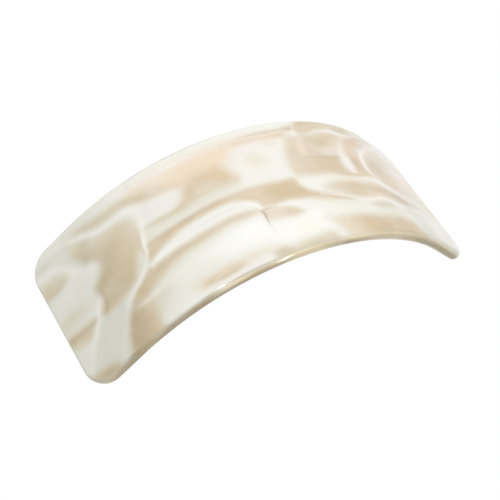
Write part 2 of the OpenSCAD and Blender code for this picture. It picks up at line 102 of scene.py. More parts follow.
LAYERS = [
    # greys under everything; the first three areas, over both ends, are partly a grey tone and partly painted shade
    # where the ends tilt away from the light
    area("G", 0.80, 6.0, [(31, 18), (33, 9), (37, 0), (33, -8), (30, -18), (56, -18), (56, 18)]),
    area("G", 0.32, 5.0, [(-56, 18), (-30, 18), (-28, 0), (-30, -18), (-56, -18)]),
    area("B", 0.35, 7.0, [(23, 18), (26, 9), (29, 0), (26, -8), (23, -18), (56, -18), (56, 18)]),
    area("G", 0.20, 1.2, [(-46, 18), (-46, 15), (-36, 13.9), (-20, 13.9), (-8, 14.2), (-8, 18)],
         ((-38, 15), (-16, 15), 1.0, 0.15)),
    area("G", 0.52, 1.4, [(-44.8, 14.0), (-41, 13.2), (-40, 10.5), (-38.4, 8), (-36.2, 6.3), (-38, 6.0),
                          (-40.4, 6.9), (-42, 8.6), (-43.6, 10.4), (-46.5, 11.8), (-52, 12.2), (-52, 14.6)]),
    area("G", 0.74, 1.1, [(-43.2, -7.6), (-41, -5.8), (-38, -6), (-35.4, -6.4), (-36.4, -8.6), (-38, -10.8),
                          (-38.8, -13.4), (-40.2, -19), (-43.4, -17), (-45, -14.2), (-47.4, -13.2), (-45.6, -10)]),
    area("G", 0.26, 1.6, [(-52, 5.6), (-44, 5.7), (-40, 4.6), (-39.4, 0), (-41, -3.2), (-52, -3.2)]),
    area("G", 0.42, 1.4, [(-52, -6.4), (-45.6, -7.4), (-46.4, -10.4), (-48, -13), (-52, -13)]),
    spot("G", 0.34, -28, -11.5, 4.0, 4.2, 10),
    spot("G", 0.20, -20, -10.5, 5.0, 3.0, 10),
    spot("G", 0.16, -14, -2.0, 9.0, 0.9, 2),
    spot("G", 0.22, 24, -10, 8.0, 1.6, 0),
    spot("G", 0.26, 21.4, 2.8, 1.6, 3.2, 0),
    # the left end
    area("O", 0.42, 1.5, [(-52, 9.8), (-47, 9.9), (-44, 9.2), (-42.7, 7.7), (-44, 6.3), (-47, 6.0), (-52, 6.2)]),
    spot("T", 0.16, -48.5, 7.4, 2.4, 1.2, 0),
    line("B", [(-50, 6.6, 0.55, 0.18), (-46, 6.5, 0.55, 0.22), (-43.8, 7.0, 0.5, 0.10)]),
    area("O", 0.58, 1.3, [(-52, -3.6), (-46, -3.7), (-42.5, -4.0), (-41.7, -4.9), (-43.2, -6.0), (-45, -7.1),
                          (-47, -6.9), (-52, -6.0)]),
    line("B", [(-51, -4.6, 0.7, 0.36), (-46, -4.7, 0.7, 0.36), (-42.8, -4.9, 0.5, 0.24)]),
    area("O", 0.70, 1.2, [(-52, -13.4), (-46.5, -13.8), (-44, -14.6), (-42.0, -16.0), (-41.3, -19), (-52, -19)]),
    spot("B", 0.48, -46, -15.6, 3.6, 1.4, -8),
    spot("O", 0.34, -46.8, -0.9, 4.0, 1.7, 0),
    spot("O", 0.14, -47.5, 12.8, 3.4, 0.9, 0),
    # the large tan shape right of it
    area("O", 0.56, 1.3, [(-41.0, 13.7), (-38.3, 13.0), (-36, 11.5), (-33, 9.8), (-30.5, 9.2), (-27, 8.6),
                          (-25.9, 7.4), (-25.6, 6.0), (-26.1, 4.4), (-26.6, 2.8), (-27.0, 1.0), (-28.5, -0.2),
                          (-29.7, -2.0), (-30.9, -3.9), (-33, -5.1), (-36, -5.6), (-40.2, -5.3), (-39.4, -3.4), (-38.7, -1.9),
                          (-39.1, -0.6), (-39.0, 0.9), (-37.1, 2.2), (-35.7, 4.1), (-37.4, 6.0), (-39.0, 7.9),
                          (-40.3, 10.5)], ((-36, 0), (-28.5, 6.5), 1.16, 0.72)),
    spot("B", 0.24, -40.2, -4.4, 0.9, 0.7, 0),
    spot("B", 0.16, -38.2, 6.4, 1.0, 1.0, 0),
    line("B", [(-38.4, 0.9, 0.5, 0.16), (-38.4, -0.8, 0.6, 0.30), (-38.2, -2.4, 0.6, 0.36), (-38.8, -4.0, 0.6, 0.34),
               (-39.5, -5.0, 0.4, 0.20)]),
    spot(None, 0.34, -39.6, 12.2, 2.6, 1.5, -20),
    spot(None, 0.22, -33.6, 9.4, 3.2, 1.5, -25),
    spot("T", 0.30, -30.2, 4.6, 3.2, 3.8, 0),
    spot("B", 0.36, -36.8, 0.3, 2.4, 1.6, 20),
    spot("B", 0.30, -34.6, -3.2, 3.4, 1.8, 10),
    spot("B", 0.30, -34.2, 4.0, 2.4, 3.0, 40),
    spot("B", 0.12, -37.0, 9.4, 3.4, 1.8, 60),
    spot("T", 0.08, -29.4, 7.4, 2.4, 1.2, -10),
    spot("T", 0.30, -26.8, 2.2, 0.7, 2.4, -12),
    spot("O", 0.26, -30.2, -0.4, 1.8, 2.2, -10),
    spot("G", 0.44, -28.3, -2.6, 1.6, 1.8, -20),
    line("T", [(-27.8, -4.3, 0.5, 0.44), (-29.6, -5.3, 0.6, 0.34), (-31.6, -6.4, 0.6, 0.34), (-33.2, -7.4, 0.6, 0.14)]),
    # below it
    area("O", 0.46, 1.5, [(-31.4, -5.8), (-33.6, -7.2), (-35.8, -9.6), (-37.6, -12), (-38.9, -14.6), (-40.2, -19),
                          (-30.6, -19), (-30.3, -15), (-28.8, -12.3), (-26.6, -10.6), (-25.4, -9.6), (-26.6, -8.4),
                          (-29, -6.8)], ((-37, -12), (-28.0, -10.5), 1.15, 0.45)),
    area("T", 0.40, 1.2, [(-31.6, -6.4), (-33.8, -7.8), (-35.8, -10.2), (-37.2, -12.6), (-38.8, -19), (-31.6, -19),
                          (-31, -14), (-30.4, -11), (-30, -8)]),
    spot("B", 0.50, -35.6, -13.4, 2.2, 5.0, -14),
    line("B", [(-33.6, -7.8, 0.6, 0.10), (-36.0, -11, 0.7, 0.22), (-37.3, -14, 0.7, 0.28), (-38.1, -18, 0.7, 0.28)]),
    line(None, [(-34.4, -9.0, 0.4, 0.10), (-32, -9.2, 0.55, 0.42), (-29.5, -9.1, 0.7, 0.50), (-26.5, -8.9, 0.7, 0.36),
                (-23, -8.9, 0.8, 0.15)]),
    # the upper cloud
    area("O", 0.46, 1.2, [(-38, 14.1), (-34, 13.7), (-30, 13.3), (-26, 13.0), (-22, 12.6), (-17.5, 10.8),
                          (-15.0, 9.6), (-15.2, 8.3), (-17, 8.8), (-20, 9.0), (-22.4, 9.2), (-24, 10.1),
                          (-26, 10.8), (-30, 10.9), (-34, 11.5)], ((-32, 12), (-24, 11), 0.9, 1.05)),
    line("B", [(-36.5, 13.2, 0.6, 0.12), (-33, 12.3, 0.8, 0.20), (-29.5, 11.8, 0.8, 0.10), (-26, 11.7, 0.8, 0.06),
               (-22.5, 10.8, 0.8, 0.16), (-19, 9.9, 0.7, 0.06)]),
    line("T", [(-25.5, 11.6, 0.8, 0.12), (-22.4, 10.4, 1.0, 0.22), (-18.5, 9.8, 0.9, 0.10), (-15.6, 8.8, 0.8, 0.10)]),
    area("P", 0.76, 2.0, [(-25, 13.7), (-18, 13.9), (-8, 13.8), (0, 13.6), (4, 13.3), (9, 12.9), (9, 11.7),
                          (3, 11.7), (-1, 11.5), (-3.8, 9.8), (-5.2, 8.0), (-4.6, 4.6), (-8, 6.6), (-13, 7.4),
                          (-16.5, 8.8), (-21, 11.2)], ((-22, 12), (-12, 12), 0.60, 1.0)),
    area("T", 0.50, 2.1, [(-17.4, 4.4), (-15.2, 6.0), (-14.2, 8.4), (-10, 9.2), (-7.0, 8.8), (-4.8, 7.4),
                          (-4.2, 5.2), (-5.4, 4.2), (-9, 3.8), (-13, 3.7), (-17, 3.7)]),
    spot("T", 0.24, -6.4, 5.2, 1.8, 1.3, 0),
    spot("T", 0.34, -14.3, 5.8, 1.2, 1.2, 0),
    spot("T", 0.22, -4.3, 4.4, 0.9, 0.9, 0),
    spot("P", 0.36, -3.5, 9.2, 1.0, 1.6, 40),
    spot("O", 0.24, 6.4, 10.2, 1.8, 0.8, -15),
    spot("O", 0.28, 10.6, 12.4, 1.4, 0.6, 10),
    spot("O", 0.40, 12.0, 14.0, 1.1, 0.6, 0),
    spot("P", 0.40, 9.9, 11.9, 1.3, 0.6, 25),
    line("O", [(-25.4, 4.2, 0.7, 0.30), (-22, 3.9, 0.8, 0.46), (-18, 3.8, 0.8, 0.42), (-14, 4.1, 0.7, 0.26),
               (-9, 4.1, 0.6, 0.18), (-5, 3.9, 0.5, 0.10)]),
    spot("L", 0.44, -21.0, 7.2, 4.6, 1.9, -4),
    spot("G", 0.14, -19.5, 6.2, 3.6, 0.9, 0),
    spot("G", 0.26, -23.4, 7.0, 1.2, 1.8, -10),
    spot(None, 0.30, -19.6, 10.3, 1.6, 0.8, -20),
    spot("L", 0.22, -11.2, 8.9, 2.4, 0.9, -6),
    area("L", 0.14, 1.2, [(-20, 14.6), (-8, 14.8), (8, 14.8), (9, 12.9), (-2, 12.9), (-12, 12.4), (-19, 11.8)]),
    area("O", 0.20, 1.2, [(-25.0, 3.4), (-15, 3.4), (-6, 3.3), (-4.6, 2.0), (-12, 1.8), (-25.0, 1.2)]),
    area("G", 0.14, 1.2, [(-25.0, 3.2), (-15, 3.2), (-8, 3.2), (-8, 2.0), (-12, 1.8), (-25.0, 1.2)]),
    # the two long bands and the crescent between them
    area("T", 0.58, 1.1, [(-26.3, 0.8), (-22, 0.9), (-17, 1.2), (-12, 1.4), (-8, 1.3), (-4, 1.3), (0, 1.1),
                          (4, 0.7), (5.6, 0.3), (6.3, -1.4), (7.6, -3.2), (10, -4.5), (13, -5.6), (16.4, -6.7),
                          (15.5, -7.2), (12.5, -6.7), (9.5, -5.9), (6, -5.0), (2, -4.5), (-1.5, -4.5),
                          (-3.3, -4.0), (-4.0, -2.7), (-5.6, -1.3), (-8.5, -0.3), (-12, 0.0), (-17, -0.2),
                          (-21, -0.8), (-24, -1.7), (-26.6, -2.9), (-27.2, -1.4)]),
    spot("O", 0.26, -23.5, -0.9, 3.4, 1.0, 12),
    spot("T", 0.18, -19.5, 0.1, 4.2, 0.7, 2),
    line("T", [(-19, -0.2, 0.5, 0.12), (-15, 0.0, 0.5, 0.24), (-11, 0.1, 0.5, 0.24), (-8, 0.2, 0.4, 0.08)]),
    line("B", [(-26, 0.5, 0.45, 0.22), (-20, 0.7, 0.45, 0.28), (-14, 0.9, 0.45, 0.26), (-9, 0.9, 0.42, 0.18),
               (-4, 1.0, 0.4, 0.08)]),
    area("T", 0.24, 1.8, [(0.0, 0.4), (4.8, 0.2), (5.8, -1.6), (7.0, -3.2), (9.0, -4.4), (5, -4.4), (1.5, -3.8),
                          (-0.5, -1.8)]),
    spot("B", 0.10, 5.0, -2.6, 1.8, 1.3, -30),
    spot("T", 0.30, 5.8, 0.1, 1.0, 0.6, -30),
    spot("C", 0.24, 9.0, -6.1, 2.4, 0.7, -25),
    spot("O", 0.18, 9.4, -6.3, 2.6, 0.7, -22),
    spot("T", 0.14, 23.4, -4.0, 3.0, 0.9, 0),
    line("T", [(7.6, -3.8, 0.6, 0.10), (11, -5.5, 0.55, 0.24), (14.8, -6.8, 0.45, 0.26)]),
    spot("P", 0.34, -4.5, 0.2, 3.5, 0.8, -6),
    spot(None, 0.16, -3.0, -3.0, 1.6, 1.3, 0),
    area("O", 0.30, 1.7, [(-26, -4.0), (-24, -3.7), (-18, -3.4), (-12, -3.3), (-7, -3.4), (-4.4, -4.2),
                          (-5, -5.4), (-9, -5.8), (-15, -6.2), (-20, -6.6), (-24, -7.4), (-29, -8.2), (-32.4, -8.4), (-32.6, -6.9), (-30.6, -5.7),
                          (-28.6, -4.8)], ((-33, -8.5), (-28, -6), 0.25, 1.0)),
    area("T", 0.40, 0.9, [(-28, -4.5), (-24, -3.9), (-18, -3.7), (-12, -3.6), (-7, -3.7), (-4.8, -4.3),
                          (-6, -4.9), (-10, -4.8), (-15, -5.0), (-20, -5.4), (-24, -6.2), (-28, -7.4),
                          (-31.4, -8.2), (-32.4, -6.9), (-30.4, -5.6)], ((-33, -8), (-29, -6), 0.5, 1.0)),
    line("B", [(-31.5, -7.0, 0.8, 0.14), (-27, -5.3, 0.6, 0.20), (-20, -4.4, 0.5, 0.14), (-12, -4.1, 0.4, 0.05)]),
    # right of the crack
    area("T", 0.46, 1.0, [(-3.8, -5.0), (-1, -5.1), (1, -5.7), (2.6, -6.9), (3.6, -7.9), (1.6, -8.5),
                          (-0.5, -8.1), (-2.6, -7.9), (-4.0, -7.0)], ((-3.5, -6), (2.6, -7.8), 0.7, 1.2)),
    spot("P", 0.44, -2.6, -5.9, 1.8, 1.0, -20),
    spot("B", 0.22, -3.5, -6.1, 0.5, 1.3, 8),
    line("G", [(-4.1, -7.8, 0.5, 0.12), (-4.0, -9.4, 0.6, 0.20), (-3.8, -11.4, 0.6, 0.10)]),
    # the near edge
    area("O", 0.22, 1.8, [(-23, -12.6), (-16, -12.0), (-9, -12.4), (-6.4, -13.2), (-9, -14.5), (-20, -14.8)]),
    area("P", 0.20, 1.3, [(-22, -13.0), (-14, -12.4), (-7, -12.8), (-4.4, -13.6), (-8, -14.3), (-20, -14.6)]),
    area("T", 0.46, 1.3, [(-20.4, -13.4), (-17, -13.0), (-14.4, -13.1), (-12.6, -13.7), (-14, -14.4), (-17, -14.6),
                          (-19.6, -14.3)]),
    spot("T", 0.26, -20.3, -14.1, 1.5, 0.8, 0),
    line("B", [(-18.4, -14.3, 0.3, 0.14), (-16, -14.4, 0.35, 0.30), (-13.6, -14.2, 0.3, 0.12)]),
    # this thin cream line inside the tan dab is a painted highlight
    line("C", [(-18.9, -14.0, 0.22, 0.16), (-17.6, -13.7, 0.28, 0.26), (-15.9, -13.3, 0.22, 0.16)]),
    line("P", [(-16.4, -12.9, 0.25, 0.10), (-15.2, -12.6, 0.28, 0.34), (-14.0, -12.4, 0.25, 0.10)]),
    line("P", [(-18.8, -10.9, 0.28, 0.08), (-17.0, -10.6, 0.32, 0.34), (-15.0, -10.3, 0.28, 0.08)]),
    line("L", [(-24, -14.8, 0.5, 0.20), (-16, -15.4, 0.6, 0.50), (-10, -15.0, 0.6, 0.55), (-7, -14.8, 0.5, 0.30)]),
    area("O", 0.58, 1.1, [(-6.1, -14.3), (-4.4, -14.0), (-3.1, -15.0), (-2.8, -16.6), (-4.4, -19), (-6.4, -17),
                          (-6.8, -15)]),
    area("O", 0.54, 1.5, [(-2.8, -15.4), (1.5, -14.3), (5.2, -13.6), (6.8, -14.8), (6.6, -19), (-2.4, -19)]),
    # the far edge over the oval
    area("T", 0.32, 0.8, [(-3.4, 13.2), (0, 13.3), (5, 13.2), (10, 13.1), (12.6, 13.0), (13.4, 14.3),
                          (12.3, 14.3), (9, 13.9), (4, 13.9), (0, 13.9), (-3, 13.8)], ((-2, 14), (5, 14), 0.4, 1.0)),
    line("B", [(1, 13.6, 0.35, 0.06), (5, 13.6, 0.4, 0.12), (9, 13.6, 0.4, 0.16), (12.8, 13.7, 0.4, 0.26)]),
    area("T", 0.28, 0.9, [(-1, 12.8), (5, 12.7), (10, 12.7), (9, 11.6), (4, 11.8), (0, 12.0)]),
    # the columns behind
    area("T", 0.46, 1.5, [(10.2, 11.6), (8.6, 8.6), (7.4, 5.6), (6.7, 3.0), (7.0, 1.0), (9, 0.4), (14, 0.2),
                          (19, 0.1), (20.2, 0.6), (19.8, 2.5), (20.2, 4.8), (19, 5.6), (14, 5.2), (11.8, 5.4),
                          (12, 8), (13.2, 10.6), (12, 11.6)]),
    area("T", 0.32, 1.5, [(10.0, 1.0), (14, 0.5), (19.4, 0.5), (20.0, 3), (18.8, 5.0), (14, 4.8), (11.0, 4.6)]),
    area("T", 0.54, 1.5, [(13.4, 11.0), (12.0, 7), (11.8, 5.3), (16, 5.0), (20.4, 5.2), (21.9, 7.5), (23.9, 10),
                          (25.2, 12.2), (21, 12.8), (16, 11.9)]),
    spot(None, 0.16, 11.6, 3.0, 1.6, 1.8, 0),
    line("T", [(16.5, 0.1, 0.5, 0.12), (19.5, 0.0, 0.7, 0.50), (22, -0.1, 0.7, 0.70), (24.5, 0.1, 0.6, 0.36),
               (26.2, 0.1, 0.5, 0.16)]),
    spot("L", 0.46, 18.8, 7.4, 2.8, 0.9, 12),
    spot("L", 0.46, 19.0, 6.3, 2.6, 0.6, 2),
    spot("L", 0.20, 25.3, 7.2, 1.3, 1.8, -20),
    spot("L", 0.18, 29.6, 11.0, 2.2, 0.9, 30),
    spot("L", 0.16, 14.6, 8.8, 1.8, 2.2, 20),
    spot("O", 0.30, 19.5, 10.2, 3.0, 1.0, 16),
    line("B", [(12.0, 5.2, 0.4, 0.10), (16, 5.0, 0.4, 0.22), (19.6, 5.0, 0.4, 0.20), (21.6, 5.4, 0.35, 0.06)]),
    area("T", 0.58, 1.3, [(22.8, 5.6), (23.4, 8.2), (25.0, 11.4), (28.6, 12.7), (33, 13.8), (38, 14.6), (33, 12.6),
                          (29.8, 10.4), (27.8, 8.0), (27.2, 5.8)]),
    area("T", 0.64, 0.9, [(22.8, 0.2), (23.0, 3), (23.9, 5.4), (26.6, 5.8), (26.8, 3.4), (26.2, 1.6), (26.9, 0.1)]),
    spot("B", 0.44, 24.4, 3.8, 1.2, 2.2, 0),
    # the right end
    area("T", 0.68, 2.6, [(27.4, 0.6), (27.6, 3.5), (29.2, 6.2), (32.0, 8.8), (36, 11.0), (41, 13.0), (48, 12.4),
                          (47, 6), (45, 1.5), (38, -1.6), (32, -1.4), (29, -0.6)], ((35, 4), (46, 8), 1.0, 0.78)),
    spot("B", 0.36, 31.6, 4.2, 4.0, 2.6, 40),
    spot("B", 0.26, 38, 6.4, 6.0, 2.4, 30),
    area("T", 0.70, 1.8, [(30, -0.6), (36, 0.2), (44, 1.1), (52, -1.6), (49, -5.6), (40, -4.0), (34.5, -3.2)]),
    spot("B", 0.26, 42, -2.6, 7.0, 2.4, 0),
    line("B", [(31, -1.6, 0.6, 0.10), (35, -1.8, 0.8, 0.32), (40, -1.4, 0.9, 0.42), (46, -1.6, 0.8, 0.26)]),
    line("L", [(36.6, 4.3, 0.5, 0.10), (39.5, 5.2, 0.8, 0.24), (43, 6.0, 0.8, 0.28), (48, 6.8, 0.9, 0.26)]),
    spot("B", 0.14, 35.0, 4.4, 2.2, 0.9, 20),
    spot("B", 0.14, 40.5, -6.1, 4.5, 0.9, 6),
    spot("B", 0.10, 38.5, 0.3, 3.0, 0.9, 0),
    spot("T", 0.18, 22.2, 1.7, 3.0, 0.7, 0),
    line("B", [(32.6, 1.6, 0.6, 0.08), (36, 2.2, 0.7, 0.24), (40, 2.3, 0.7, 0.24), (46, 2.3, 0.7, 0.14)]),
    line("B", [(37, 8.2, 0.5, 0.06), (41, 8.8, 0.6, 0.14), (46, 9.2, 0.6, 0.06)]),
    spot("L", 0.22, 27.0, 11.6, 2.4, 0.8, 20),
    spot("L", 0.14, 31.5, 7.6, 2.4, 1.4, 40),
    area("T", 0.40, 1.8, [(42, 3), (47, 6), (53, 9), (53, 2), (47, 1)]),
    # the wave under the white band
    area("T", 0.58, 1.4, [(10.6, -3.4), (13.5, -2.0), (18, -1.7), (23, -1.7), (26, -2.0), (28, -3.0),
                          (30.2, -4.2), (33, -4.9), (37, -5.0), (43, -3.8), (43, -5.6), (37, -6.8),
                          (33.5, -7.5), (31, -7.5), (28.6, -7.0), (26, -5.9), (23, -6.3), (20, -6.8), (17, -6.4),
                          (13.6, -5.2)], ((11, -4), (17, -4), 0.55, 1.0)),
    line("B", [(18, -3.6, 1.0, 0.10), (24, -3.6, 1.1, 0.26), (28, -4.6, 1.1, 0.46), (32, -6.0, 1.2, 0.84),
               (36, -6.1, 0.9, 0.60), (41, -5.3, 0.7, 0.30)]),
    spot("T", 0.40, 26.2, -5.7, 1.2, 0.8, 0),
    area("O", 0.50, 1.3, [(20.0, -8.4), (22.4, -7.3), (25, -7.5), (26.6, -8.6), (24.8, -9.5), (21.6, -9.3)]),
    spot("B", 0.16, 23.4, -8.2, 1.8, 0.5, 0),
    spot("G", 0.22, 15.5, -8.1, 4.6, 0.8, 0),
    # the near edge on the right
    area("O", 0.34, 1.7, [(6.8, -10.4), (10, -10.7), (14, -10.9), (20, -11.1), (26, -11.0), (28.8, -12.0),
                          (30.2, -14), (31.4, -19), (10.4, -19), (9.0, -14.6), (7.4, -12.4)],
         ((8, -13), (15, -13), 0.72, 1.0)),
    area("P", 0.30, 1.4, [(8.0, -11.2), (13, -11.6), (16, -12), (16, -19), (10.6, -19), (9.4, -14.6)]),
    area("T", 0.52, 1.6, [(10, -12.2), (20, -12.0), (26, -11.9), (28.6, -12.6), (30.0, -14.4), (31.2, -19),
                          (10, -19)], ((10, -14), (17, -14), 0.25, 1.0)),
    spot("B", 0.24, 24.0, -14.6, 5.0, 1.8, 0),
    line("B", [(12, -12.2, 0.4, 0.04), (18, -12.7, 0.5, 0.12), (24, -12.7, 0.5, 0.14), (28, -13.4, 0.5, 0.12)]),
    spot(None, 0.30, 30.2, -11.6, 1.5, 1.4, -40),
    area("T", 0.18, 1.2, [(34, -13.6), (40, -12.6), (47, -10.6), (48, -12), (42, -14.4), (35, -15)]),
    line("T", [(31, -9.8, 0.6, 0.10), (38, -8.6, 0.7, 0.18), (45, -6.8, 0.8, 0.20)]),
    line("G", [(32, -11.2, 0.5, 0.20), (38, -9.9, 0.5, 0.26), (46, -8.4, 0.6, 0.26)]),
    # the far edge on the right
    area("T", 0.52, 0.9, [(13.2, 14.2), (14.8, 15.6), (20, 16.4), (27, 16.6), (38, 16.4), (33, 14.8),
                          (27.2, 12.9), (24, 13.7), (20, 13.3), (16.5, 12.4), (14.3, 12.0)]),
    line("B", [(14.4, 15.3, 0.45, 0.18), (19, 15.7, 0.45, 0.24), (26, 15.7, 0.45, 0.24), (32, 15.3, 0.45, 0.16)]),
    line("B", [(24.3, 14.0, 0.4, 0.16), (27, 13.8, 0.5, 0.28), (30, 14.5, 0.45, 0.24)]),
    spot("L", 0.24, 31.5, 15.0, 3.0, 0.6, 10),
    area("T", 0.40, 1.3, [(27, 11), (30, 11.8), (36, 14), (40, 15.5), (46, 15.5), (39, 12.6), (33, 10.4),
                          (29.5, 8.8)]),
    line("L", [(38, 16, 0.6, 0.2), (43, 13, 0.7, 0.26), (47, 9.6, 0.8, 0.18), (49, 3, 0.8, 0.16)]),
    # whites
    area("W", 0.16, 1.8, [(-4.7, 6.8), (-3.8, 9.2), (-1.8, 10.9), (1.5, 11.6), (5, 11.2), (8.6, 10.6), (7.4, 7.6),
                          (6.6, 5), (6.2, 2.6), (6.2, 1.2), (2, 1.6), (-1.5, 2.0), (-3.6, 3.2), (-4.6, 5.0)]),
    line("L", [(-4.6, 5.2, 0.9, 0.25), (-3.6, 8.4, 1.0, 0.40), (-0.8, 10.6, 1.0, 0.50), (4, 10.6, 1.1, 0.50),
               (6.6, 8.4, 1.1, 0.36), (6.4, 5.0, 1.1, 0.32), (4.5, 2.6, 1.1, 0.42), (0.5, 2.6, 0.9, 0.42),
               (-2.8, 3.8, 0.9, 0.40)]),
    spot("P", 0.28, 1.0, 7.2, 3.0, 2.5, -10),
    spot("O", 0.12, 1.3, 7.2, 2.6, 2.1, -10),
    area("W", 0.10, 1.1, [(6.3, 0.4), (10, 0.0), (16, -0.3), (22, -0.4), (27, -0.5), (29.8, -2.0), (31.6, -3.4),
                          (30.4, -3.9), (27.6, -2.4), (23, -1.6), (17, -1.6), (13.6, -2.0), (11.4, -3.4),
                          (10, -4.2), (7.8, -2.8), (6.7, -1.2)], ((9, 0), (24, 0), 1.2, 0.2)),
    spot("P", 0.22, 18, -1.0, 5.0, 0.6, -2),
    area("W", 0.44, 2.2, [(-26, -7.6), (-18, -6.4), (-8, -5.9), (-4.6, -5.8), (-4.4, -8.4), (3, -8.8), (6, -8.2),
                          (6.6, -10.8), (7.4, -13.0), (6, -13.8), (0, -13.4), (-3, -13.0), (-6, -12.0),
                          (-14, -11.4), (-22, -11.4)], ((-24, -9), (-8, -9), 0.0, 1.1)),
    area("W", 0.16, 1.8, [(3, -8.6), (6, -7.8), (12, -7.9), (20, -8.2), (21, -9.8), (16, -10.6), (8, -9.7),
                          (6.6, -10.8)], ((6, -9), (18, -9), 1.1, 0.0)),
    spot("C", 0.16, 14, -9.4, 5.0, 1.2, 0),
    spot("W", 0.44, -7.2, -8.4, 3.2, 1.8, 4),
    spot("W", 0.14, -1.8, -11.4, 2.8, 1.3, 0),
    spot("C", 0.22, 1.6, -11.6, 2.8, 1.6, 0),
    line("W", [(-19.5, 13.7, 0.3, 0.10), (-15, 13.6, 0.4, 0.34), (-10, 13.5, 0.35, 0.22)]),
    line("B", [(-23.7, 15.8, 0.22, 0.16), (-23.8, 14.6, 0.24, 0.18), (-23.6, 13.6, 0.2, 0.06)]),
    line("W", [(-24.0, 8.0, 0.8, 0.10), (-24.9, 5.8, 0.6, 0.26), (-25.5, 4.0, 0.42, 0.48), (-26.0, 2.4, 0.40, 0.62),
               (-26.4, 1.0, 0.38, 0.66), (-26.6, -0.2, 0.38, 0.60), (-27.0, -1.2, 0.38, 0.46), (-27.7, -2.2, 0.38, 0.34),
               (-28.5, -3.1, 0.38, 0.32), (-29.5, -4.0, 0.38, 0.34), (-31.0, -5.0, 0.42, 0.30),
               (-32.8, -5.9, 0.45, 0.24), (-34.6, -7.0, 0.50, 0.14), (-36.6, -9.2, 0.55, 0.06),
               (-38.2, -11.4, 0.55, 0.05), (-39.8, -14, 0.6, 0.08), (-41.6, -18, 0.6, 0.10)]),
    line("W", [(-45, 15.2, 0.5, 0.10), (-42, 14.3, 0.45, 0.18), (-39.2, 13.0, 0.5, 0.24), (-36.2, 11.7, 0.5, 0.36),
               (-33, 10.3, 0.5, 0.34), (-30, 10.0, 0.6, 0.18), (-27, 10.3, 0.8, 0.15), (-25, 9.4, 0.9, 0.10)]),
    line("W", [(-52, 11.1, 0.6, 0.08), (-46.5, 11.0, 0.6, 0.12), (-44, 10.4, 0.7, 0.16), (-42.6, 8.9, 0.6, 0.22),
               (-41.2, 7.2, 0.6, 0.22), (-39.6, 6.1, 0.6, 0.18), (-37.8, 5.3, 0.9, 0.26), (-36.6, 4.4, 0.8, 0.20)]),
    line("W", [(-47.2, -10.8, 0.8, 0.02), (-45, -8.6, 0.7, 0.10), (-43.6, -7.2, 0.45, 0.20),
               (-42.0, -5.4, 0.40, 0.28), (-40.9, -3.6, 0.40, 0.30), (-39.8, -1.9, 0.40, 0.22)]),
    line("W", [(-26.8, -3.7, 0.4, 0.36), (-25, -3.0, 0.45, 0.38), (-22, -2.1, 0.5, 0.22), (-18, -1.6, 0.5, 0.12),
               (-14, -1.2, 0.45, 0.12), (-10.5, -1.1, 0.45, 0.16), (-7.4, -1.5, 0.45, 0.30), (-5.3, -2.3, 0.4, 0.50),
               (-4.2, -3.3, 0.35, 0.66), (-3.7, -4.5, 0.3, 0.50)]),
    line("W", [(-25.5, -3.5, 0.35, 0.40), (-20, -2.8, 0.35, 0.38), (-14, -2.5, 0.35, 0.36), (-8, -2.7, 0.35, 0.34),
               (-5.2, -3.5, 0.3, 0.20)]),
    line("W", [(-1.6, -4.7, 0.3, 0.08), (0.4, -4.9, 0.45, 0.38), (3, -5.3, 0.6, 0.36), (6, -5.9, 0.6, 0.14),
               (9, -6.8, 0.5, 0.06), (13, -7.5, 0.45, 0.12)]),
    line("L", [(1.5, -5.2, 0.6, 0.20), (4, -5.6, 0.7, 0.30), (6.5, -6.4, 0.6, 0.12)]),
    line("W", [(9.5, -4.7, 0.35, 0.30), (13, -5.8, 0.4, 0.38), (16.5, -6.7, 0.45, 0.38), (20, -7.1, 0.45, 0.36),
               (23.5, -6.6, 0.4, 0.26), (26, -6.9, 0.4, 0.20), (28.5, -7.8, 0.5, 0.28), (32, -8.2, 0.6, 0.18),
               (38, -8, 0.8, 0.05)]),
    line("W", [(8.0, 9.8, 0.8, 0.12), (9.6, 11.3, 0.6, 0.14), (11.5, 12.2, 0.45, 0.22), (13.4, 12.2, 0.40, 0.10),
               (17, 12.3, 0.42, 0.14), (20, 12.9, 0.42, 0.28), (23.3, 13.3, 0.42, 0.38), (26.4, 12.5, 0.42, 0.38),
               (30, 13.2, 0.45, 0.20), (34, 14.2, 0.45, 0.20), (38, 15.2, 0.45, 0.18)]),
    line("W", [(14.6, 15.8, 0.30, 0.30), (13.8, 14.4, 0.30, 0.28), (13.1, 12.9, 0.34, 0.26), (12.4, 11.8, 0.36, 0.18)]),
    line("P", [(14.6, 15.8, 0.32, 0.26), (13.8, 14.4, 0.34, 0.30), (13.1, 12.9, 0.38, 0.28), (12.4, 11.8, 0.4, 0.20)]),
    line("L", [(26.4, 12, 0.45, 0.30), (24.8, 10.2, 0.5, 0.28), (23.2, 7.6, 0.65, 0.34), (21.9, 5, 0.75, 0.52),
               (21.4, 3, 0.9, 0.90), (21.5, 1.2, 0.6, 0.60)]),
    line("W", [(22.2, 5.6, 0.3, 0.06), (21.7, 3.6, 0.3, 0.04), (21.6, 1.8, 0.3, 0.04)]),
    line("L", [(43, 14.4, 0.6, 0.20), (36, 11.6, 0.7, 0.36), (32, 9.4, 0.7, 0.50), (29.2, 7.4, 0.65, 0.66),
               (27.5, 5.2, 0.6, 0.74), (26.8, 3.0, 0.5, 0.72), (27.4, 0.8, 0.45, 0.55)]),
    line("W", [(31, 8.8, 0.35, 0.10), (28.4, 6.6, 0.35, 0.26), (27.1, 4.4, 0.35, 0.30), (27.1, 1.8, 0.3, 0.24)]),
    line("W", [(27, -0.9, 0.5, 0.20), (30, -2.6, 0.4, 0.30), (33, -4.2, 0.35, 0.34), (37, -5.0, 0.3, 0.28),
               (42, -4.6, 0.3, 0.16)]),
    line("P", [(11.4, 5.6, 0.7, 0.20), (12.4, 8.4, 0.8, 0.50), (13.3, 10.4, 0.6, 0.45)]),
